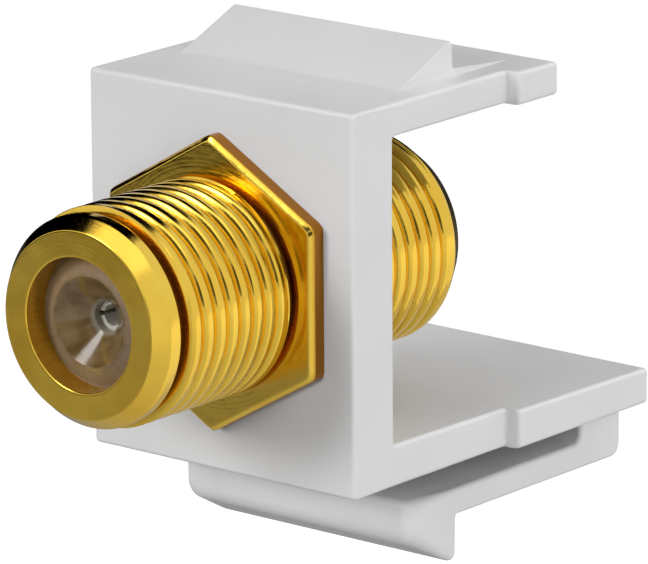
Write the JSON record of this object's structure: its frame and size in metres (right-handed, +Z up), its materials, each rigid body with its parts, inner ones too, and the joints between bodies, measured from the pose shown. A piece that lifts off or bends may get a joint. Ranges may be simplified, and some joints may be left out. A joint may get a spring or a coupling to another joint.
{
  "type": "f connector",
  "caption": "Snap-in panel insert: a white plastic housing with a flexing latch holds a gold-plated, double-ended coaxial screw coupler.",
  "frame": {"origin": "on the coupler's axis, in the plane of the housing wall's front face", "axes": "-Y is the way the front thread points, +Y runs back along the arms, +Z is up, away from the latch"},
  "size_m": [0.016, 0.0288, 0.0228],
  "materials": {
    "white_plastic": "satin moulded plastic",
    "gold_plate": "bright gold plating on turned brass",
    "clear_insulator": "clear, slightly brown dielectric",
    "tin_plate": "satin tin plating"
  },
  "bodies": {
    "insert": {"housing": "white_plastic", "coupler_body": "gold_plate", "front_insulator": "clear_insulator", "rear_insulator": "clear_insulator", "centre_contact": "tin_plate"},
    "latch": {"latch": "white_plastic"}
  },
  "joints": [
    {"name": "latch_flex", "type": "hinge", "parent": "insert", "child": "latch", "pos_m": [0, 0.0164, -0.00985], "axis": [-1, 0, 0], "range_deg": [0, 6], "stiffness_Nm_per_rad": 1.4}
  ]
}
